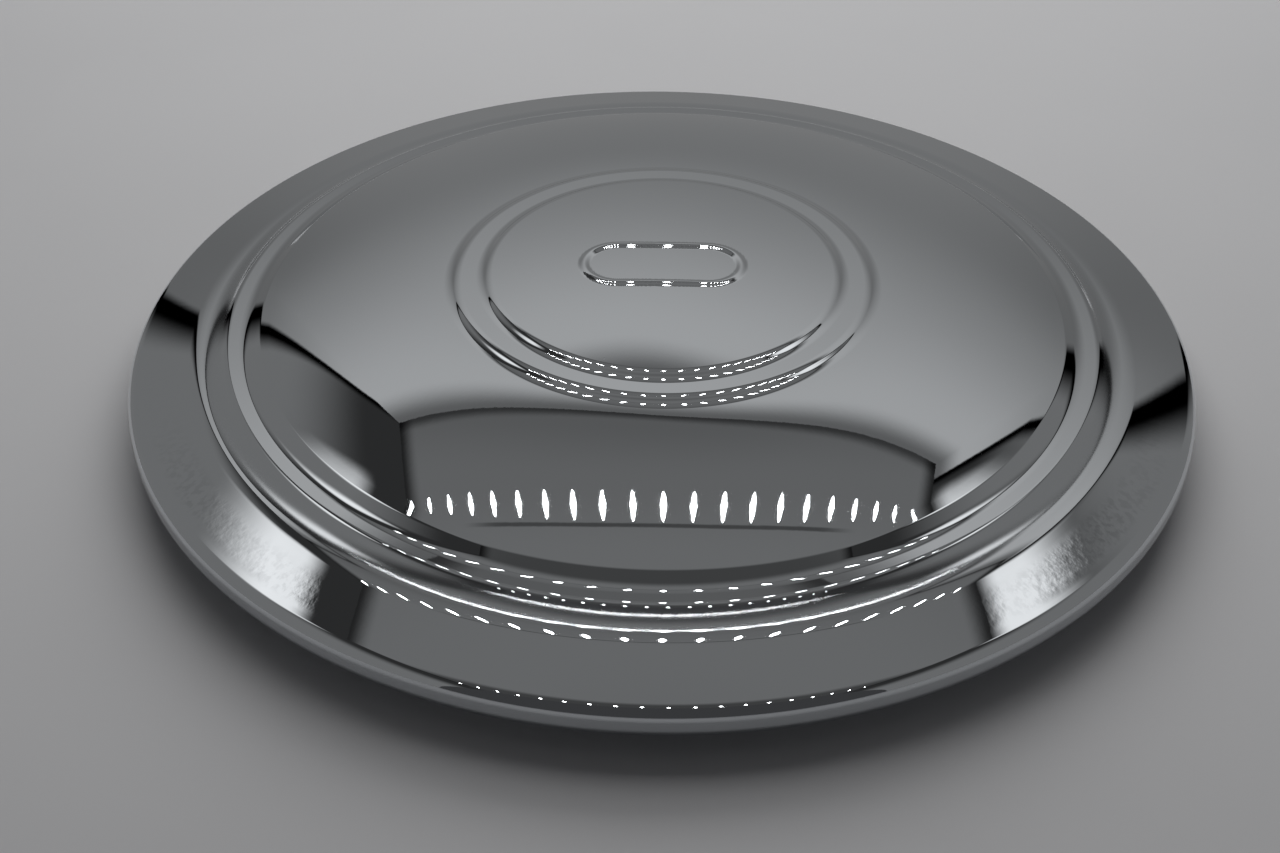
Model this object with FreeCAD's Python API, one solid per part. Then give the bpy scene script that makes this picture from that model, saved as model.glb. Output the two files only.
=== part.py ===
import FreeCAD, Part
import math
import os

# Centre cap for a pressed steel wheel: one stamped sheet, bright plated on its face.
# Frame: origin on the axis at the rest plane, +Z along the axis towards the face.
# Lengths are millimetres. Slopes are degrees below the horizontal, going outwards.
# Bends are the inside radii of the folds.

# Sheet and rolled edge
SHEET = 0.9
RIM_RADIUS = 133.35
ROLL_BEND = 2.6
ROLL_WALL = 2.0

# Snap skirt that turns down from the rolled edge
SKIRT_BORE = 121.5
SKIRT_DEPTH = 6.5
SKIRT_BEND = 1.5

# Radii of the four shoulders, from the centre outwards, and the width of the last ring's valley
DISC_RADIUS = 43.1
INNER_RING_RADIUS = 50.9
FIELD_RADIUS = 100.1
OUTER_RING_RADIUS = 108.4
VALLEY_WIDTH = 7.9

# Drops of the four steps, and the slopes of their risers
DISC_STEP = 1.3
INNER_RING_STEP = 1.3
FIELD_STEP = 2.3
OUTER_RING_STEP = 2.8
INNER_RISER_SLOPE = 32.0
FIELD_RISER_SLOPE = 33.0
OUTER_RISER_SLOPE = 40.0

# Slopes of the pressed surfaces between the steps
DISC_EDGE_SLOPE = 4.5
INNER_RING_SLOPE = 0.5
FIELD_INNER_SLOPE = 3.0
FIELD_OUTER_SLOPE = 18.4
OUTER_RING_SLOPE = 2.0
VALLEY_SLOPE = 4.0
FLANGE_SLOPE = 16.0

# Bends of the steps and of the crease
INNER_SHOULDER_BEND = 2.8
OUTER_SHOULDER_BEND = 1.6
INNER_FOOT_BEND = 4.0
FIELD_FOOT_BEND = 5.0
OUTER_FOOT_BEND = 6.0
VALLEY_BEND = 8.5
CREASE_BEND = 15.0

# Raised bead on the disc, a plain loop with round ends
BEAD_LENGTH = 39.0
BEAD_WIDTH = 17.0
BEAD_BEND = 0.6

SHORTEST_EDGE = 1e-6


def fall(slope, run):
    """Drop of a straight surface of the given slope over a horizontal run."""
    return run * math.tan(math.radians(slope))


def run_of(slope, drop):
    """Horizontal run over which a straight surface of the given slope drops so far."""
    return drop / math.tan(math.radians(slope))


def face_corners():
    """Corners of the face's section and the bend at each, from the axis out to the skirt's edge.

    The levels are worked out from the rolled edge inwards. A bend of None is a sweeping curve,
    as large as its two neighbours leave room for.
    """
    roll_radius = ROLL_BEND + SHEET
    roll_turn = math.radians(90 - FLANGE_SLOPE)
    roll_corner = SKIRT_DEPTH + roll_radius + ROLL_WALL + roll_radius * math.tan(roll_turn / 2)

    crease_radius = OUTER_RING_RADIUS + VALLEY_WIDTH
    valley_foot = OUTER_RING_RADIUS + run_of(OUTER_RISER_SLOPE, OUTER_RING_STEP)
    crease_level = roll_corner + fall(FLANGE_SLOPE, RIM_RADIUS - crease_radius)
    valley_level = crease_level + fall(VALLEY_SLOPE, crease_radius - valley_foot)
    outer_ring_level = valley_level + OUTER_RING_STEP

    outer_ring_foot = FIELD_RADIUS + run_of(FIELD_RISER_SLOPE, FIELD_STEP)
    outer_foot_level = outer_ring_level + fall(OUTER_RING_SLOPE, OUTER_RING_RADIUS - outer_ring_foot)
    field_edge_level = outer_foot_level + FIELD_STEP

    field_foot = INNER_RING_RADIUS + run_of(INNER_RISER_SLOPE, INNER_RING_STEP)
    field_half = (FIELD_RADIUS - field_foot) / 2
    field_level = field_edge_level + fall(FIELD_OUTER_SLOPE, field_half)
    field_foot_level = field_level + fall(FIELD_INNER_SLOPE, field_half)
    inner_ring_level = field_foot_level + INNER_RING_STEP

    inner_ring_foot = DISC_RADIUS + run_of(INNER_RISER_SLOPE, DISC_STEP)
    inner_foot_level = inner_ring_level + fall(INNER_RING_SLOPE, INNER_RING_RADIUS - inner_ring_foot)
    disc_edge_level = inner_foot_level + DISC_STEP
    crown_level = disc_edge_level + fall(DISC_EDGE_SLOPE, DISC_RADIUS / 2)

    skirt_radius = SKIRT_BORE + SHEET
    return [
        (0, crown_level, 0),
        (DISC_RADIUS / 2, crown_level, None),
        (DISC_RADIUS, disc_edge_level, INNER_SHOULDER_BEND),
        (inner_ring_foot, inner_foot_level, INNER_FOOT_BEND),
        (INNER_RING_RADIUS, inner_ring_level, INNER_SHOULDER_BEND),
        (field_foot, field_foot_level, FIELD_FOOT_BEND),
        (field_foot + field_half, field_level, None),
        (FIELD_RADIUS, field_edge_level, OUTER_SHOULDER_BEND),
        (outer_ring_foot, outer_foot_level, OUTER_FOOT_BEND),
        (OUTER_RING_RADIUS, outer_ring_level, OUTER_SHOULDER_BEND),
        (valley_foot, valley_level, VALLEY_BEND),
        (crease_radius, crease_level, CREASE_BEND),
        (RIM_RADIUS, roll_corner, ROLL_BEND),
        (RIM_RADIUS, SKIRT_DEPTH, ROLL_BEND),
        (skirt_radius, SKIRT_DEPTH, SKIRT_BEND),
        (skirt_radius, 0, 0),
    ]


def bend_layout(corners):
    """For each inner corner: its point, headings before and after, turn, and radius on the face."""
    points = [FreeCAD.Vector(radius, 0, height) for radius, height, _ in corners]
    headings = [(end - start).normalize() for start, end in zip(points, points[1:])]
    turns = []
    radii = [0.0]
    for before, after, (_, _, bend) in zip(headings, headings[1:], corners[1:]):
        cross = before.z * after.x - before.x * after.z
        turn = math.atan2(cross, before.dot(after))
        turns.append(turn)
        radii.append(None if bend is None else bend + (SHEET if turn > 0 else 0.0))
    radii.append(0.0)
    turns = [0.0] + turns + [0.0]
    for index, radius in enumerate(radii):
        if radius is not None:
            continue
        room = []
        for near in (index - 1, index + 1):
            taken = radii[near] * math.tan(abs(turns[near]) / 2)
            room.append((points[near] - points[index]).Length - taken)
        radii[index] = min(room) / math.tan(abs(turns[index]) / 2)
    return points, headings, turns, radii


def section_edges(corners, depth):
    """Edges of the section, a set depth into the sheet from the face, in order from the axis out."""
    points, headings, turns, radii = bend_layout(corners)
    into_sheet = [FreeCAD.Vector(way.z, 0, -way.x) for way in headings]
    last = points[0] + into_sheet[0] * depth
    edges = []

    def add_line(end):
        if (end - last).Length > SHORTEST_EDGE:
            edges.append(Part.LineSegment(last, end).toShape())

    for index in range(1, len(points) - 1):
        side = 1 if turns[index] > 0 else -1
        before, after = into_sheet[index - 1], into_sheet[index]
        reach = radii[index] * math.tan(abs(turns[index]) / 2)
        centre = points[index] - headings[index - 1] * reach + before * (side * radii[index])
        radius = radii[index] - side * depth
        middle = (before + after).normalize()
        start = centre - before * (side * radius)
        finish = centre - after * (side * radius)
        add_line(start)
        edges.append(Part.Arc(start, centre - middle * (side * radius), finish).toShape())
        last = finish
    add_line(points[-1] + into_sheet[-1] * depth)
    return edges


def bead_loop(half_width, leg, height):
    """Arch section carried round the bead's loop: two straight runs and two half turns.

    The section is a half disc whose middle is at the given height, on two straight legs.
    """
    turn_radius = BEAD_WIDTH / 2
    half_run = BEAD_LENGTH / 2 - turn_radius
    left = FreeCAD.Vector(0, turn_radius - half_width, height)
    right = FreeCAD.Vector(0, turn_radius + half_width, height)
    top = FreeCAD.Vector(0, turn_radius, height + half_width)
    down = FreeCAD.Vector(0, 0, -leg)
    legs = [right, right + down, left + down, left] if leg else [right, left]
    outline = [Part.Arc(left, top, right).toShape()] + Part.makePolygon(legs).Edges
    section = Part.Face(Part.Wire(outline))
    middle = FreeCAD.Vector(0, 0, 0)
    up = FreeCAD.Vector(0, 0, 1)
    quarters = []
    for side in (0, 180):
        run = section.extrude(FreeCAD.Vector(2 * half_run, 0, 0))
        run.translate(FreeCAD.Vector(-half_run, 0, 0))
        half_turn = section.revolve(middle, up, -180)
        half_turn.translate(FreeCAD.Vector(half_run, 0, 0))
        for piece in (run, half_turn):
            piece.rotate(middle, up, side)
            quarters.append(piece)
    return quarters[0].fuse(quarters[1:])


def cap_shell():
    """The stamped sheet: its section turned about the axis, with the bead pushed up from behind."""
    corners = face_corners()
    face = section_edges(corners, 0)
    back = section_edges(corners, SHEET)
    crown_face, rim_face = face[0].Vertexes[0].Point, face[-1].Vertexes[-1].Point
    crown_back, rim_back = back[0].Vertexes[0].Point, back[-1].Vertexes[-1].Point
    skirt_edge = Part.LineSegment(rim_face, rim_back).toShape()
    axis_edge = Part.LineSegment(crown_back, crown_face).toShape()
    section = Part.Face(Part.Wire(Part.__sortEdges__(face + [skirt_edge] + back + [axis_edge])))
    sheet = section.revolve(FreeCAD.Vector(0, 0, 0), FreeCAD.Vector(0, 0, 1), 360)

    raised = sheet.fuse(bead_loop(SHEET + BEAD_BEND, 0, crown_back.z))
    return raised.cut(bead_loop(BEAD_BEND, SHEET, crown_back.z)).removeSplitter()


os.makedirs("parts", exist_ok=True)
shell = cap_shell()
shell.exportStep("parts/cap_shell.step")
print("height", round(shell.BoundBox.ZMax, 3), "volume", round(shell.Volume, 1), "valid", shell.isValid())
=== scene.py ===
import math

import bpy
import numpy as np
from bpy.props import FloatProperty, FloatVectorProperty, IntProperty, PointerProperty
from mathutils import Matrix, Vector


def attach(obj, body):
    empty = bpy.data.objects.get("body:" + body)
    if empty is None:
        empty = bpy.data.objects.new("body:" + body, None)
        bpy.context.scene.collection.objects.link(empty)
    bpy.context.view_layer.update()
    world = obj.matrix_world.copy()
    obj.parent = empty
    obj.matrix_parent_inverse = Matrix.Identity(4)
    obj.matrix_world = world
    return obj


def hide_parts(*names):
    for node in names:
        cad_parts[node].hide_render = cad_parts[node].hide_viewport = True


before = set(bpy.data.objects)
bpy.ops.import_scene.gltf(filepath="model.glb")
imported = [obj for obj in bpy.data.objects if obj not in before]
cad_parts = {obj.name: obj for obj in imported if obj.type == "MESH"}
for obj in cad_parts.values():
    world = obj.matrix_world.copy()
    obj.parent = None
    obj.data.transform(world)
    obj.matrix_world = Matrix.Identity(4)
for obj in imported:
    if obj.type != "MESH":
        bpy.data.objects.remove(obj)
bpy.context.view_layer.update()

bl_info = {
    "name": "Wheel centre cap",
    "version": (1, 0, 0),
    "blender": (4, 5, 0),
    "location": "View3D > Sidebar > Centre cap",
    "description": "Dresses the packed centre cap in bright plate and sets it in a light box",
    "category": "Object",
}


def length(name, description, metres):
    """A length in metres, as a property."""
    return FloatProperty(name=name, description=description, default=metres, unit="LENGTH", precision=5)


def angle(name, description, degrees):
    """An angle given in degrees, as a property."""
    return FloatProperty(name=name, description=description, default=math.radians(degrees), subtype="ANGLE")


def share(name, description, value):
    """A plain number, as a property."""
    return FloatProperty(name=name, description=description, default=value, precision=4)


def tint(name, description, red, green, blue):
    """A colour, as a property."""
    default = (red, green, blue)
    return FloatVectorProperty(name=name, description=description, default=default, subtype="COLOR", min=0.0)


class CapShape(bpy.types.PropertyGroup):
    """Sizes of the stamped sheet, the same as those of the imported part."""

    sheet: length("Sheet", "Thickness of the sheet", 0.0009)
    rim_radius: length("Rim radius", "Radius of the rolled edge", 0.13335)
    roll_bend: length("Roll bend", "Inside radius of the rolled edge", 0.0026)
    roll_wall: length("Roll wall", "Height of the rolled edge's upright band", 0.002)
    skirt_bore: length("Skirt bore", "Inside radius of the snap skirt", 0.1215)
    skirt_depth: length("Skirt depth", "How far the skirt hangs below the rolled edge", 0.0065)
    skirt_bend: length("Skirt bend", "Inside radius of the fold into the skirt", 0.0015)
    disc_radius: length("Disc radius", "Shoulder of the middle disc", 0.0431)
    inner_ring_radius: length("Inner ring radius", "Shoulder of the inner ring", 0.0509)
    field_radius: length("Field radius", "Shoulder of the wide field", 0.1001)
    outer_ring_radius: length("Outer ring radius", "Shoulder of the outer ring", 0.1084)
    valley_width: length("Valley width", "From the outer ring's shoulder to the flange's crease", 0.0079)
    disc_step: length("Disc step", "Drop from the disc to the inner ring", 0.0013)
    inner_ring_step: length("Inner ring step", "Drop from the inner ring to the field", 0.0013)
    field_step: length("Field step", "Drop from the field to the outer ring", 0.0023)
    outer_ring_step: length("Outer ring step", "Drop from the outer ring to the valley", 0.0028)
    inner_riser: angle("Inner riser", "Slope of the two inner risers", 32.0)
    field_riser: angle("Field riser", "Slope of the field's riser", 33.0)
    outer_riser: angle("Outer riser", "Slope of the outer ring's riser", 40.0)
    disc_edge_slope: angle("Disc edge slope", "Slope at the disc's edge", 4.5)
    inner_ring_slope: angle("Inner ring slope", "Slope of the inner ring", 0.5)
    field_inner_slope: angle("Field inner slope", "Slope at the field's inner edge", 3.0)
    field_outer_slope: angle("Field outer slope", "Slope at the field's outer edge", 18.4)
    outer_ring_slope: angle("Outer ring slope", "Slope of the outer ring", 2.0)
    valley_slope: angle("Valley slope", "Slope of the valley", 4.0)
    flange_slope: angle("Flange slope", "Slope of the flange", 16.0)
    inner_shoulder: length("Inner shoulder bend", "Inside radius of the two inner shoulders", 0.0028)
    outer_shoulder: length("Outer shoulder bend", "Inside radius of the two outer shoulders", 0.0016)
    inner_foot_bend: length("Inner foot bend", "Radius at the foot of the disc's riser", 0.004)
    field_foot_bend: length("Field foot bend", "Radius at the foot of the inner ring's riser", 0.005)
    outer_foot_bend: length("Outer foot bend", "Radius at the foot of the field's riser", 0.006)
    valley_bend: length("Valley bend", "Radius at the foot of the outer ring's riser", 0.0085)
    crease_bend: length("Crease bend", "Inside radius of the flange's crease", 0.015)
    bead_length: length("Bead length", "Length of the bead's loop", 0.039)
    bead_width: length("Bead width", "Width of the bead's loop", 0.017)
    bead_height: length("Bead height", "How far the bead stands above the disc", 0.0006)
    bead_reach: length("Bead reach", "Half the width of the bead's own section", 0.0016)
    turns: IntProperty(name="Turns", description="Steps round the axis", default=288, min=24)


class PlateFinish(bpy.types.PropertyGroup):
    """Colours and texture of the bright plate."""

    face: tint("Face", "Colour of the bright plate", 0.61, 0.632, 0.652)
    scuff: tint("Scuff", "Colour of the scuffed grain on the flange", 0.40, 0.415, 0.43)
    dust: tint("Dust", "Colour of a speck of dust", 0.75, 0.75, 0.74)
    back: tint("Back", "Colour of the unpolished back", 0.33, 0.33, 0.335)
    stain: tint("Stain", "Colour of the stains on the back", 0.20, 0.20, 0.205)
    face_rough: share("Face roughness", "Roughness of the bright plate", 0.012)
    valley_rough: share("Valley roughness", "Roughness that the valley has beyond the face's", 0.14)
    back_rough: share("Back roughness", "Roughness of the back", 0.42)
    brush_scale: share("Brushing", "Fineness of the brushing", 90.0)
    peel_scale: share("Orange peel", "Fineness of the orange peel", 420.0)
    wave_scale: share("Waves", "Fineness of the waves that the press left", 28.0)
    pit_scale: share("Pits", "Fineness of the cells that hold pits and specks", 150.0)
    wear_scale: share("Wear", "Fineness of the scuffed areas", 17.0)
    stain_scale: share("Stains", "Fineness of the stains on the back", 60.0)
    bump_share: share("Bump", "Strength of the texture's bump", 0.05)
    bump_depth: length("Bump depth", "Height of the texture's bump", 0.0004)


class LightBox(bpy.types.PropertyGroup):
    """Sizes and brightness of the light box round the cap."""

    floor: tint("Floor", "Colour of the pale floor", 0.72, 0.72, 0.73)
    floor_size: length("Floor size", "Side of the square floor", 3.0)
    floor_drop: length("Floor drop", "How far the floor lies below the skirt's edge", 0.0001)
    ceiling_height: length("Ceiling height", "Height of the ceiling above the floor", 0.312)
    ceiling_front: length("Ceiling front", "Where the ceiling begins", -0.25)
    wall_front: length("Wall front", "Where the side walls begin", -0.30)
    left_wall: length("Left wall", "Where the left wall stands", -0.190)
    right_wall: length("Right wall", "Where the right wall stands", 0.207)
    backdrop_low: share("Backdrop below", "Brightness of the backdrop near the floor", 0.235)
    backdrop_high: share("Backdrop above", "Brightness of the backdrop higher up", 0.52)
    # Painted shade: the backdrop darkens to this share of its brightness under the ceiling
    corner_shade_share: share("Corner", "What the backdrop keeps of its brightness under the ceiling", 0.3)
    roof_front: share("Ceiling in front", "Brightness of the ceiling's front part", 0.205)
    roof_back: share("Ceiling behind", "Brightness of the ceiling's back part", 0.18)
    wall_low: share("Wall below", "Brightness of a side wall near the floor", 0.215)
    wall_high: share("Wall above", "Brightness of a side wall near the ceiling", 0.035)
    patch: share("Patch", "Brightness that the end lamp adds to a side wall", 1.15)
    lamp_count: IntProperty(name="Lamps", description="Lamps in a strip", default=21, min=1)
    lamp_pitch: length("Lamp pitch", "Distance between the lamps of a strip", 0.0187)
    lamp_width: length("Lamp width", "Half the width of one lamp", 0.0021)
    lamp_length: length("Lamp length", "Half the length of one lamp, from front to back", 0.024)
    lamp_power: share("Lamp strength", "Brightness of a lamp", 22.0)


# How finely the sheet's section is cut: the angle of a bend's steps, the runs and the bead's part
FACE_CUTS = (math.radians(4.5), 0.0016, 0.00042)
BACK_CUTS = (math.radians(12.0), 0.0040, 0.00110)

# Points of the section that are nearer than this are one
SAME_POINT = 1e-7

# Radii between which scuffs on the flange, and the valley's dullness, come and go
SCUFF_RADII = (0.1195, 0.1230, 0.1275, 0.1300)
VALLEY_RADII = (0.1088, 0.1102, 0.1128, 0.1145)

# Where the flange is held: from front to back, and by the square of the distance aside
HELD_FRONT = (-0.080, -0.035)
HELD_ASIDE = (0.0045, 0.0075)

# Width of the painted shade in the ceiling's corners by the side walls
CORNER_SHADE_WIDTH = 0.016

# Corners of one lamp's outline
LAMP_CORNERS = 16

# Lamp strips: name, middle, depth, then what the lamps' length, spread, fanning out and width are scaled by
LAMP_STRIPS = (
    ("back_strip", 0.0025, 0.04, 1.0, 1.0, 0.0, 1.0),
    ("front_strip", -0.012, -0.222, 0.8, 1.114, 2.36, 0.8),
)

# Soft lamps: name, place, size and power
SOFT_LAMPS = (
    ("top_light", (0.0, 0.18, 0.55), (0.6, 0.4), 0.85),
    ("back_light", (0.05, 0.90, 0.55), (1.2, 0.7), 6.6),
)

# Colour of the room round the light box
ROOM = (0.06, 0.06, 0.062)

# Camera: focal length and sensor in millimetres, its right and up directions and its place
LENS = 61.875
SENSOR = 36.0
VIEW_RIGHT = (0.999851, 0.016197, 0.005955)
VIEW_UP = (-0.014521, 0.603199, 0.797459)
EYE = (0.0, -0.457991, 0.334429)


def section_corners(shape):
    """Corners of the face's section, from the axis out to the skirt's edge: radius, height and bend.

    Heights are summed from the rolled edge inwards: each surface rises by its run times the tangent of
    its slope, and each riser takes the run that its drop and slope need. A bend of nan is a sweeping
    curve, as large as its neighbours leave room for.
    """
    roll = shape.roll_bend + shape.sheet
    tan = math.tan
    roll_reach = roll * tan((math.pi / 2 - shape.flange_slope) / 2)
    roll_corner = shape.skirt_depth + roll + shape.roll_wall + roll_reach
    crease = shape.outer_ring_radius + shape.valley_width
    valley_foot = shape.outer_ring_radius + shape.outer_ring_step / tan(shape.outer_riser)
    crease_level = roll_corner + (shape.rim_radius - crease) * tan(shape.flange_slope)
    valley_level = crease_level + (crease - valley_foot) * tan(shape.valley_slope)
    outer_level = valley_level + shape.outer_ring_step
    outer_foot = shape.field_radius + shape.field_step / tan(shape.field_riser)
    outer_foot_level = outer_level + (shape.outer_ring_radius - outer_foot) * tan(shape.outer_ring_slope)
    field_edge = outer_foot_level + shape.field_step
    field_foot = shape.inner_ring_radius + shape.inner_ring_step / tan(shape.inner_riser)
    half = (shape.field_radius - field_foot) / 2
    field_level = field_edge + half * tan(shape.field_outer_slope)
    field_foot_level = field_level + half * tan(shape.field_inner_slope)
    inner_level = field_foot_level + shape.inner_ring_step
    inner_foot = shape.disc_radius + shape.disc_step / tan(shape.inner_riser)
    inner_foot_level = inner_level + (shape.inner_ring_radius - inner_foot) * tan(shape.inner_ring_slope)
    disc_edge = inner_foot_level + shape.disc_step
    crown = disc_edge + shape.disc_radius / 2 * tan(shape.disc_edge_slope)
    skirt = shape.skirt_bore + shape.sheet
    sweep = math.nan
    return np.array([
        (0.0, crown, 0.0),
        (shape.disc_radius / 2, crown, sweep),
        (shape.disc_radius, disc_edge, shape.inner_shoulder),
        (inner_foot, inner_foot_level, shape.inner_foot_bend),
        (shape.inner_ring_radius, inner_level, shape.inner_shoulder),
        (field_foot, field_foot_level, shape.field_foot_bend),
        (field_foot + half, field_level, sweep),
        (shape.field_radius, field_edge, shape.outer_shoulder),
        (outer_foot, outer_foot_level, shape.outer_foot_bend),
        (shape.outer_ring_radius, outer_level, shape.outer_shoulder),
        (valley_foot, valley_level, shape.valley_bend),
        (crease, crease_level, shape.crease_bend),
        (shape.rim_radius, roll_corner, shape.roll_bend),
        (shape.rim_radius, shape.skirt_depth, shape.roll_bend),
        (skirt, shape.skirt_depth, shape.skirt_bend),
        (skirt, 0.0, 0.0),
    ])


def section_line(shape, arc_step, run_step, bead_step):
    """Face's section as points and outward normals, sampled along its lines and bends.

    A bend of turn t and radius R starts R tan(t/2) before its corner. Its points are the centre plus R
    times the normal turned from the first heading's to the second's. Straight runs and slack bends are
    cut every run_step, sharp bends every arc_step, and the disc every bead_step where the bead lies.
    """
    corners = section_corners(shape)
    points, bends = corners[:, :2], corners[:, 2]
    legs = np.diff(points, axis=0)
    spans = np.linalg.norm(legs, axis=1)
    headings = np.arctan2(legs[:, 1], legs[:, 0])
    turn = np.zeros(len(points))
    turn[1:-1] = -(np.diff(headings) + np.pi) % (2 * np.pi) - np.pi
    turn[1:-1] = np.where(turn[1:-1] <= -np.pi, turn[1:-1] + 2 * np.pi, turn[1:-1])
    radius = bends + np.where(turn > 0, shape.sheet, 0.0)
    radius[[0, -1]] = 0.0
    reach = radius * np.tan(np.abs(turn) / 2)
    for k in np.flatnonzero(np.isnan(radius)):
        room = min(spans[k - 1] - reach[k - 1], spans[k] - reach[k + 1])
        radius[k] = room / math.tan(abs(turn[k]) / 2)
        reach[k] = room
    pieces = []
    for k in range(len(points) - 1):
        way = legs[k] / spans[k]
        normal = np.array((-way[1], way[0]))
        start = points[k] + way * reach[k]
        run = spans[k] - reach[k] - reach[k + 1]
        cuts = np.linspace(0.0, run, max(2, math.ceil(run / run_step) + 1))
        pieces.append((start + cuts[:, None] * way, np.broadcast_to(normal, (len(cuts), 2))))
        if radius[k + 1] <= 0.0:
            continue
        side = math.copysign(1.0, turn[k + 1])
        arc = abs(turn[k + 1])
        count = max(math.ceil(arc / arc_step), math.ceil(arc * radius[k + 1] / run_step)) + 1
        swing = headings[k] + math.pi / 2 - side * np.linspace(0.0, arc, count)
        normals = np.stack((np.cos(swing), np.sin(swing)), axis=1)
        centre = start + way * run - normal * side * radius[k + 1]
        pieces.append((centre + normals * side * radius[k + 1], normals))
    line = np.concatenate([piece[0] for piece in pieces])
    normals = np.concatenate([piece[1] for piece in pieces])
    keep = np.r_[True, np.linalg.norm(np.diff(line, axis=0), axis=1) > SAME_POINT]
    line, normals = line[keep], normals[keep]
    inner = shape.bead_width / 2 - shape.bead_reach * 1.5
    outer = shape.bead_length / 2 + shape.bead_reach * 1.5
    extra = np.arange(inner, outer, bead_step)
    travel = np.r_[0.0, np.cumsum(np.linalg.norm(np.diff(line, axis=0), axis=1))]
    disc = line[:, 0] <= shape.disc_radius
    where = np.interp(extra, line[disc, 0], travel[disc])
    stops = np.unique(np.r_[travel, where].round(7))
    columns = [np.interp(stops, travel, column) for column in (*line.T, *normals.T)]
    line = np.stack(columns[:2], axis=1)
    normals = np.stack(columns[2:], axis=1)
    return line, normals / np.linalg.norm(normals, axis=1, keepdims=True)


def bead_rise(shape, x, y):
    """Height of the bead at a point of the disc, and its two slopes.

    The bead follows a loop of two straight runs and two half turns. At a distance d from that loop its
    height is bead_height times (1 - (d / bead_reach)^2)^2, and nothing beyond bead_reach.
    """
    turn_radius = shape.bead_width / 2
    half_run = shape.bead_length / 2 - turn_radius
    across = np.sign(x) * np.maximum(np.abs(x) - half_run, 0.0)
    far = np.hypot(across, y)
    safe = np.maximum(far, 1e-9)
    offset = far - turn_radius
    fill = np.clip(1.0 - (offset / shape.bead_reach) ** 2, 0.0, 1.0)
    rise = shape.bead_height * fill ** 2
    steep = -4.0 * shape.bead_height * fill * offset / shape.bead_reach ** 2
    return rise, steep * across / safe, steep * y / safe


def turned_sheet(shape):
    """Points, normals, back share and quads of the whole sheet, turned about the axis.

    A point of the section at radius r and height z goes to (r cos a, r sin a, z). The back is the face's
    section moved one sheet thickness against its normal, walked the other way, so the two close into
    one skin. The bead lifts the face and the back alike.
    """
    face, face_normals = section_line(shape, *FACE_CUTS)
    back, back_normals = section_line(shape, *BACK_CUTS)
    back = (back - back_normals * shape.sheet)[::-1]
    line = np.concatenate((face, back))
    normals = np.concatenate((face_normals, -back_normals[::-1]))
    is_back = np.r_[np.zeros(len(face)), np.ones(len(back))]
    line[0, 0] = line[-1, 0] = 0.0
    angles = np.arange(shape.turns) * (2 * np.pi / shape.turns)
    cos, sin = np.cos(angles), np.sin(angles)
    ring = line[1:-1]
    x = ring[:, :1] * cos
    y = ring[:, :1] * sin
    z = np.repeat(ring[:, 1:], shape.turns, axis=1)
    rise, slope_x, slope_y = bead_rise(shape, x, y)
    on_disc = ring[:, :1] < shape.disc_radius * 0.9
    z = z + np.where(on_disc, rise, 0.0)
    out = normals[1:-1]
    tilt = np.where(on_disc, 1.0, 0.0) * np.abs(out[:, 1:])
    way = np.sign(out[:, 1:])
    nx = out[:, :1] * cos - tilt * way * slope_x
    ny = out[:, :1] * sin - tilt * way * slope_y
    nz = np.repeat(out[:, 1:], shape.turns, axis=1)
    verts = np.stack((x, y, z), axis=2).reshape(-1, 3)
    vectors = np.stack((nx, ny, nz), axis=2).reshape(-1, 3)
    vectors /= np.linalg.norm(vectors, axis=1, keepdims=True)
    poles = np.array([(0.0, 0.0, line[0, 1]), (0.0, 0.0, line[-1, 1])])
    verts = np.concatenate((verts, poles))
    vectors = np.concatenate((vectors, [(0.0, 0.0, 1.0), (0.0, 0.0, -1.0)]))
    back_share = np.r_[np.repeat(is_back[1:-1], shape.turns), 0.0, 1.0]
    index = np.arange(len(ring) * shape.turns).reshape(len(ring), shape.turns)
    ahead = np.roll(index, -1, axis=1)
    quads = np.stack((index[:-1], index[1:], ahead[1:], ahead[:-1]), axis=2).reshape(-1, 4)
    top, low = len(verts) - 2, len(verts) - 1
    top_fan = np.stack((np.full(shape.turns, top), index[0], ahead[0]), axis=1)
    low_fan = np.stack((np.full(shape.turns, low), ahead[-1], index[-1]), axis=1)
    return verts, vectors, back_share, quads, np.concatenate((top_fan, low_fan))


class Socket:
    """A shader socket that takes part in Python expressions: each operator adds a Math node."""

    def __init__(self, graph, link):
        self.graph = graph
        self.link = link

    def _join(self, operation, left, right):
        return self.graph.node("ShaderNodeMath", {"operation": operation}, {0: left, 1: right})

    def __add__(self, other):
        return self._join("ADD", self, other)

    def __radd__(self, other):
        return self._join("ADD", other, self)

    def __sub__(self, other):
        return self._join("SUBTRACT", self, other)

    def __rsub__(self, other):
        return self._join("SUBTRACT", other, self)

    def __mul__(self, other):
        return self._join("MULTIPLY", self, other)

    def __rmul__(self, other):
        return self._join("MULTIPLY", other, self)

    def __truediv__(self, other):
        return self._join("DIVIDE", self, other)

    def __rtruediv__(self, other):
        return self._join("DIVIDE", other, self)

    def __pow__(self, other):
        return self._join("POWER", self, other)

    def __gt__(self, other):
        return self._join("GREATER_THAN", self, other)

    def __lt__(self, other):
        return self._join("LESS_THAN", self, other)


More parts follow.
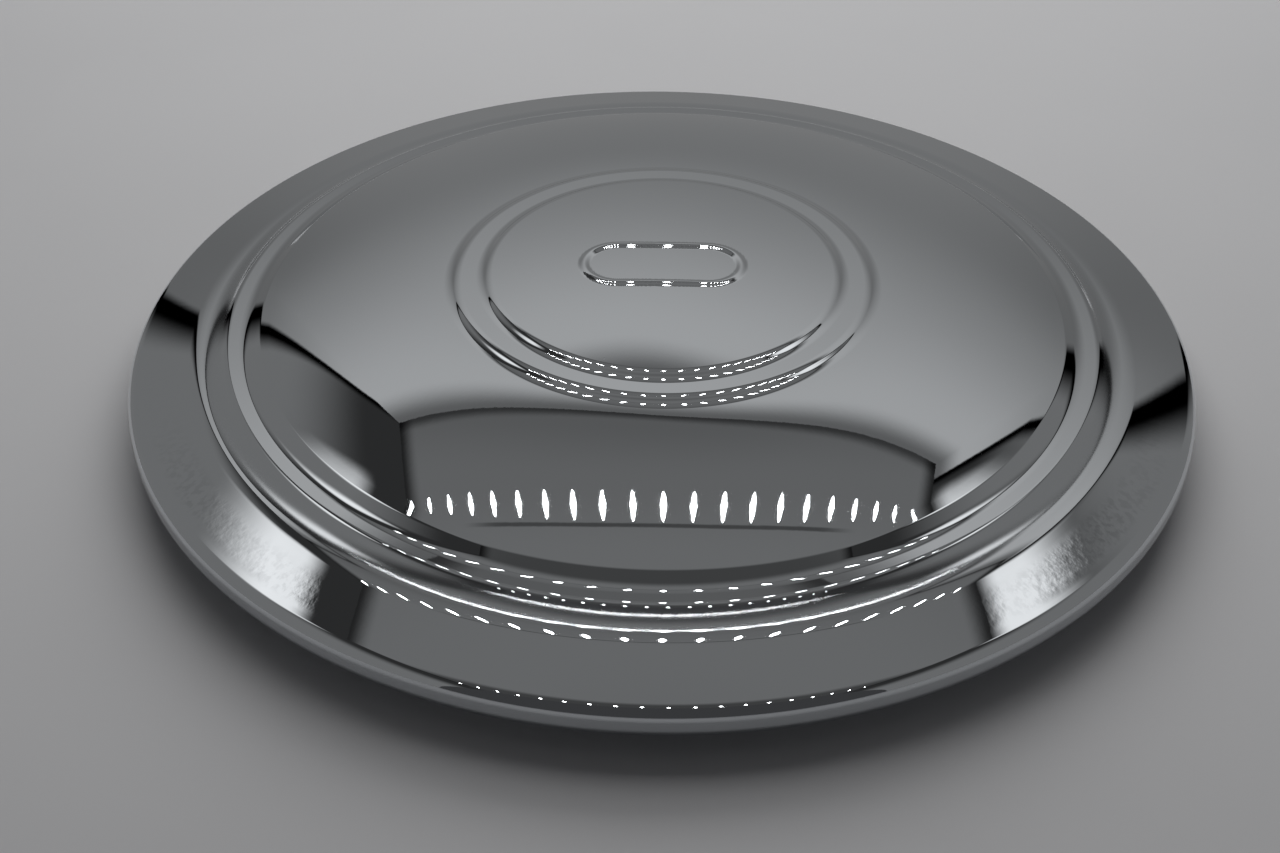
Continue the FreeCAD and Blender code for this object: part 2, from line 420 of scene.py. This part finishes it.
class Finish:
    """A material under construction, with one method that adds any node."""

    def __init__(self, name):
        self.material = bpy.data.materials.new(name)
        self.material.use_nodes = True
        self.tree = self.material.node_tree
        self.tree.nodes.clear()

    def node(self, kind, settings=None, sockets=None, out=0):
        made = self.tree.nodes.new(kind)
        for key, value in (settings or {}).items():
            setattr(made, key, value)
        for key, value in (sockets or {}).items():
            if isinstance(value, Socket):
                self.tree.links.new(value.link, made.inputs[key])
            else:
                made.inputs[key].default_value = value
        return Socket(self, made.outputs[out]) if made.outputs else None

    def ease(self, value, low, high, first=0.0, last=1.0):
        """Smooth step of a value between two limits."""
        sockets = {"Value": value, "From Min": low, "From Max": high, "To Min": first, "To Max": last}
        return self.node("ShaderNodeMapRange", {"interpolation_type": "SMOOTHSTEP"}, sockets)

    def band(self, value, limits):
        """Smooth hump of a value: up between the first two limits, down between the last two."""
        return self.ease(value, *limits[:2]) * self.ease(value, *limits[2:], 1.0, 0.0)

    def noise(self, vector, scale, detail):
        """Value of a noise pattern."""
        return self.node("ShaderNodeTexNoise", None, {"Vector": vector, "Scale": scale, "Detail": detail})

    def place(self):
        """The object's coordinates, whole and then split into x, y and z."""
        whole = self.node("ShaderNodeTexCoord", None, None, out=3)
        split = self.node("ShaderNodeSeparateXYZ", None, {0: whole})
        return [whole] + [Socket(self, axis) for axis in split.link.node.outputs]

    def blend(self, factor, first, second):
        """Mix of two colours."""
        return self.node("ShaderNodeMix", {"data_type": "RGBA"}, {0: factor, 6: first, 7: second}, out=2)

    def close(self, shader):
        self.node("ShaderNodeOutputMaterial", None, {"Surface": shader})
        return self.material


def colour(values):
    """A property's colour with full opacity."""
    return (*values, 1.0)


def bright_plate(finish):
    """Bright plate on the face, going over to the duller back by the sheet's own back share.

    The face has fine brushing that runs out from the axis, a faint orange peel, slow waves left by the
    press, a few pits and specks of dust. Brushing is noise on the direction from the axis, so it has no
    seam; its height and the peel's are summed into one bump. The flange is scuffed where hands hold it,
    at the front to both sides, and the narrow valley is less polished.
    """
    plate = Finish("bright_plate")
    place, x, y, _ = plate.place()
    across = (x * x + y * y) ** 0.5
    blunt = across + 0.004
    direction = plate.node("ShaderNodeCombineXYZ", None, {0: x / blunt, 1: y / blunt, 2: across * 6.0})
    brush = plate.noise(direction, finish.brush_scale, 5.0)
    peel = plate.noise(place, finish.peel_scale, 2.0)
    wave = plate.noise(place, finish.wave_scale, 1.0)
    wear = plate.noise(place, finish.wear_scale, 2.0)
    stain = plate.noise(place, finish.stain_scale, 4.0)
    cells = plate.node("ShaderNodeTexVoronoi", None, {"Vector": place, "Scale": finish.pit_scale})
    drawn = Socket(plate, cells.link.node.outputs["Color"])
    luck = plate.node("ShaderNodeSeparateColor", None, {0: drawn})
    pit = plate.ease(cells, 0.02, 0.07, 1.0, 0.0) * (luck > 0.985)
    speck = plate.ease(cells, 0.02, 0.05, 1.0, 0.0) * (luck < 0.012)
    held = plate.ease(y, *HELD_FRONT, 1.0, 0.04) * plate.ease(x * x, *HELD_ASIDE)
    scuff = plate.band(across, SCUFF_RADII) * held * plate.ease(wear, 0.40, 0.60, 0.45, 1.0)
    valley = plate.band(across, VALLEY_RADII)
    back = plate.node("ShaderNodeAttribute", {"attribute_name": "back_share"}, None, out=2)

    height = brush * (0.03 + scuff * 1.3) + peel * (0.05 + scuff * 1.6) + wave * 2.2 - pit * 0.8
    bump = plate.node("ShaderNodeBump", None, {
        "Height": height, "Strength": finish.bump_share, "Distance": finish.bump_depth,
    })
    dusty = plate.blend(speck * 0.5, colour(finish.face), colour(finish.dust))
    grain = scuff * plate.ease(brush, 0.44, 0.62) * 0.5
    face_tint = plate.blend(grain, dusty, colour(finish.scuff))
    back_tint = plate.blend(stain, colour(finish.back), colour(finish.stain))
    base = plate.blend(back, face_tint, back_tint)
    face_rough = finish.face_rough + brush * 0.012 + peel * scuff * 0.02 + speck * 0.3
    face_rough = face_rough + valley * finish.valley_rough
    rough = face_rough * (1.0 - back) + back * (finish.back_rough + stain * 0.15)
    shader = plate.node("ShaderNodeBsdfPrincipled", None, {
        "Base Color": base, "Metallic": 1.0, "Roughness": rough, "Normal": bump,
    })
    return plate.close(shader)


class CAP_OT_sheet(bpy.types.Operator):
    """Turn the stamped sheet about its axis, plate it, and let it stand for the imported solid"""

    bl_idname = "centre_cap.sheet"
    bl_label = "Stamped sheet"

    def execute(self, context):
        scene = context.scene
        verts, normals, back_share, quads, fans = turned_sheet(scene.cap_shape)
        mesh = bpy.data.meshes.new("bright_sheet")
        mesh.from_pydata(verts.tolist(), [], quads.tolist() + fans.tolist())
        if mesh.validate():
            raise RuntimeError("the sheet's mesh had faulty faces")
        mesh.polygons.foreach_set("use_smooth", np.ones(len(mesh.polygons), dtype=bool))
        mesh.normals_split_custom_set_from_vertices(normals.tolist())
        layer = mesh.attributes.new("back_share", "FLOAT", "POINT")
        layer.data.foreach_set("value", back_share.astype(np.float32))
        mesh.materials.append(bright_plate(scene.plate_finish))
        sheet = bpy.data.objects.new("bright_sheet", mesh)
        scene.collection.objects.link(sheet)
        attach(sheet, "root")
        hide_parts("cap_shell")
        return {"FINISHED"}


def stage_piece(name, verts, faces, material):
    """A mesh of the stage, linked into the scene."""
    mesh = bpy.data.meshes.new(name)
    mesh.from_pydata(verts.tolist(), [], faces.tolist())
    mesh.materials.append(material)
    made = bpy.data.objects.new(name, mesh)
    bpy.context.scene.collection.objects.link(made)
    return made


def panel(name, across, place, material):
    """A stage surface: place(u, v) gives a point for each u and v from 0 to 1, cut only along u."""
    u, v = np.meshgrid(np.linspace(0.0, 1.0, across + 1), np.array((0.0, 1.0)), indexing="ij")
    verts = np.stack(np.broadcast_arrays(*place(u, v)), axis=2).reshape(-1, 3)
    index = np.arange(len(verts)).reshape(-1, 2)
    quads = np.stack((index[:-1, 0], index[1:, 0], index[1:, 1], index[:-1, 1]), axis=1)
    return stage_piece(name, verts, quads, material)


def only_mirrored(made):
    """Let a stage surface show in reflections alone."""
    made.visible_camera = False
    made.visible_diffuse = False
    made.visible_shadow = False
    made.visible_transmission = False
    made.visible_volume_scatter = False


def glow(name, build):
    """An emission material whose grey level is worked out from the surface's place."""
    made = Finish(name)
    level = build(made, *made.place()[1:])
    return made.close(made.node("ShaderNodeEmission", None, {"Color": level, "Strength": 1.0}))


def ceiling_edge(x):
    """How far back the ceiling reaches: a blunt point, a little left of the middle."""
    return 0.244 - 0.5 * ((x + 0.015) ** 2 + 0.0009) ** 0.5 - 0.07 * x


def left_gap(z):
    """How far back the gap beside the backdrop, painted black as shade, lies on the left wall: it leans back
    going up.
    """
    return 0.107 + 0.22 * z


def right_gap(z):
    """How far back the gap beside the backdrop, painted black as shade, lies on the right wall."""
    return 0.092 + 0.0 * z


def backdrop_level(made, box, z):
    """Painted light of the backdrop by height: it grows upwards, and painted shade makes it fade under the
    ceiling.
    """
    rising = made.ease(z, 0.07, 0.26, box.backdrop_low, box.backdrop_high)
    return rising * made.ease(z, 0.262, 0.308, 1.0, box.corner_shade_share)


def lit_wall(box, gap, width, middle, low, high):
    """Painted light and shade of a side wall: grey below, painted shade by the ceiling, one painted pool of
    light where the end lamp lights it.

    The patch, a painted pool of light, is a smooth hump in depth round the given middle, between the heights
    low and high. Behind the gap the wall shows the backdrop's side. The gap itself is painted black as
    shade, softer in front than behind, and width sqrt(t) (1 - t)^5 + 0.004 t metres wide at the share t of
    the height.
    """
    def level(made, x, y, z):
        base = made.ease(z, 0.13, 0.25, box.wall_low, box.wall_high)
        near = made.ease((y - middle) * (y - middle), 0.0, 0.0036, 1.0, 0.0)
        patch = near * made.band(z, (low - 0.04, low + 0.03, high - 0.02, high + 0.015))
        away = y - gap(z)
        behind = made.ease(away, 0.0, 0.004)
        side = backdrop_level(made, box, z) * made.ease(z, 0.05, 0.13, 0.72, 1.0)
        up = z / box.ceiling_height
        half = (up ** 0.5 * (1.0 - up) ** 5 * width + up * 0.004) * 0.5
        open_front = made.ease(0.0 - away, half * 0.4, half * 3.4 + 0.004)
        open_rear = made.ease(away, half * 0.6, half * 1.4 + 0.002)
        return ((base + patch * box.patch) * (1.0 - behind) + side * behind) * (open_front + open_rear)
    return level


class CAP_OT_stage(bpy.types.Operator):
    """Set up the floor, the light box that the plate mirrors, the lamps and the camera"""

    bl_idname = "centre_cap.stage"
    bl_label = "Light box and camera"

    def execute(self, context):
        scene = context.scene
        box = scene.light_box
        self.floor(box)
        self.box_walls(box)
        self.lamp_strips(box)
        self.soft_lamps(scene)
        self.surroundings(scene)
        self.camera(scene)
        scene.view_settings.view_transform = "Standard"
        return {"FINISHED"}

    def floor(self, box):
        cloth = Finish("pale_floor")
        mottle = cloth.noise(cloth.place()[0], 9.0, 3.0)
        darker = tuple(value * 0.93 for value in box.floor)
        base = cloth.blend(mottle, colour(box.floor), colour(darker))
        shader = cloth.node("ShaderNodeBsdfPrincipled", None, {"Base Color": base, "Roughness": 0.8})
        side = box.floor_size

        def flat(u, v):
            return side * (u - 0.5), side * (v - 0.5), -box.floor_drop

        panel("floor", 1, flat, cloth.close(shader))

    def box_walls(self, box):
        # The backdrop, ceiling and side walls glow though they are no lamps: their grey levels are painted
        # light and shade of a lit light box, shown in reflections alone.
        top = box.ceiling_height
        left, right = box.left_wall, box.right_wall

        def roof(made, x, y, z):
            # Painted light and shade of the ceiling: darker towards the back and much darker at its front
            # end, a dark line across its middle part, and painted shade in the corners by the side walls and
            # along its back edge.
            level = made.ease(y, -0.03, 0.06, box.roof_front, box.roof_back)
            level = level * made.ease(y, 0.08, 0.2, 1.0, 0.8)
            line = made.ease(((y - 0.012) * (y - 0.012)) ** 0.5, 0.0015, 0.004, 0.6, 0.0)
            board = 1.0 - line * made.ease(x * x, 0.012, 0.021, 1.0, 0.0)
            sides = made.ease(x, left, left + CORNER_SHADE_WIDTH, 0.12, 1.0)
            sides = sides * made.ease(x, right - CORNER_SHADE_WIDTH, right, 1.0, 0.12)
            rear = made.ease(ceiling_edge(x) - y, 0.002, 0.022, 0.3, 1.0)
            return level * board * sides * rear * made.ease(y, -0.17, -0.04, 0.35, 1.0)

        def sweep(made, x, y, z):
            shade = made.ease(x * x, 0.005, 0.034, 0.0, 0.28) * made.ease(z, 0.05, 0.13, 1.0, 0.0)
            return backdrop_level(made, box, z) * (1.0 - shade)

        def rear_wall(u, v):
            x = left + (right - left) * u
            return x, ceiling_edge(x), top * v

        def lid(u, v):
            x = left + (right - left) * u
            return x, box.ceiling_front + (ceiling_edge(x) - box.ceiling_front) * v, top

        def side_wall(x):
            return lambda u, v: (x, box.wall_front + (ceiling_edge(x) - box.wall_front) * u, top * v)

        left_level = lit_wall(box, left_gap, 0.12, 0.006, 0.17, 0.245)
        right_level = lit_wall(box, right_gap, 0.18, 0.022, 0.22, 0.30)
        only_mirrored(panel("backdrop", 48, rear_wall, glow("backdrop_glow", sweep)))
        only_mirrored(panel("ceiling", 48, lid, glow("ceiling_glow", roof)))
        only_mirrored(panel("left_wall", 1, side_wall(left), glow("left_glow", left_level)))
        only_mirrored(panel("right_wall", 1, side_wall(right), glow("right_glow", right_level)))

    def lamp_strips(self, box):
        """Rows of lens-shaped lamps under the ceiling, closer and smaller towards a row's ends.

        A lamp's outline is sin(a)^3 along and cos(a) across. The lamps of a fanned row point away from
        a place behind the cap.
        """
        shine = glow("lamp_glow", lambda made, x, y, z: made.ease(z, 0.0, 0.1, 0.0, box.lamp_power))
        step = np.linspace(-1.0, 1.0, box.lamp_count)[:, None]
        places = (1.07 * step - 0.07 * step ** 3) * box.lamp_pitch * (box.lamp_count - 1) / 2
        corner = np.arange(LAMP_CORNERS) * (2 * np.pi / LAMP_CORNERS)
        for name, middle, depth, stretch, spread, fan, thin in LAMP_STRIPS:
            along = stretch * box.lamp_length * (1.0 - 0.67 * step ** 2) * np.sin(corner) ** 3
            aside = thin * box.lamp_width * (1.0 - 0.35 * step ** 2) * np.cos(corner)
            x = middle + places * (spread - fan * along) + aside
            z = np.full(x.shape, box.ceiling_height - 0.002)
            verts = np.stack((x, depth + along, z), axis=2).reshape(-1, 3)
            faces = np.arange(len(verts)).reshape(box.lamp_count, LAMP_CORNERS)[:, ::-1]
            only_mirrored(stage_piece(name, verts, faces, shine))

    def soft_lamps(self, scene):
        for name, place, size, power in SOFT_LAMPS:
            lamp = bpy.data.lights.new(name, "AREA")
            lamp.shape = "RECTANGLE"
            lamp.size, lamp.size_y = size
            lamp.energy = power
            made = bpy.data.objects.new(name, lamp)
            made.location = place
            made.rotation_euler = (-Vector(place)).to_track_quat("-Z", "Y").to_euler()
            made.visible_glossy = False
            made.visible_camera = False
            scene.collection.objects.link(made)

    def surroundings(self, scene):
        world = bpy.data.worlds.new("studio")
        scene.world = world
        world.use_nodes = True
        world.node_tree.nodes["Background"].inputs["Color"].default_value = colour(ROOM)
        world.node_tree.nodes["Background"].inputs["Strength"].default_value = 1.0

    def camera(self, scene):
        data = bpy.data.cameras.new("view")
        data.sensor_width = SENSOR
        data.sensor_fit = "HORIZONTAL"
        data.lens = LENS
        data.clip_start = 0.01
        right, up = np.array(VIEW_RIGHT), np.array(VIEW_UP)
        turn = np.stack((right, up, np.cross(right, up)), axis=1)
        view = bpy.data.objects.new("view", data)
        view.matrix_world = Matrix.LocRotScale(EYE, Matrix(turn.tolist()), None)
        scene.collection.objects.link(view)
        scene.camera = view


class CAP_PT_panel(bpy.types.Panel):
    """Lists the steps and the sizes of the centre cap"""

    bl_idname = "CAP_PT_panel"
    bl_label = "Centre cap"
    bl_space_type = "VIEW_3D"
    bl_region_type = "UI"
    bl_category = "Centre cap"

    def draw(self, context):
        scene = context.scene
        for step in (CAP_OT_sheet, CAP_OT_stage):
            self.layout.operator(step.bl_idname)
        for group in (scene.cap_shape, scene.plate_finish, scene.light_box):
            box = self.layout.box()
            for key in group.bl_rna.properties.keys():
                if key not in ("rna_type", "name"):
                    box.prop(group, key)


CLASSES = (CapShape, PlateFinish, LightBox, CAP_OT_sheet, CAP_OT_stage, CAP_PT_panel)


def register():
    for item in CLASSES:
        bpy.utils.register_class(item)
    bpy.types.Scene.cap_shape = PointerProperty(type=CapShape)
    bpy.types.Scene.plate_finish = PointerProperty(type=PlateFinish)
    bpy.types.Scene.light_box = PointerProperty(type=LightBox)


def unregister():
    del bpy.types.Scene.light_box
    del bpy.types.Scene.plate_finish
    del bpy.types.Scene.cap_shape
    for item in reversed(CLASSES):
        bpy.utils.unregister_class(item)


def main():
    register()
    bpy.ops.centre_cap.sheet()
    bpy.ops.centre_cap.stage()


if __name__ == "__main__":
    main()
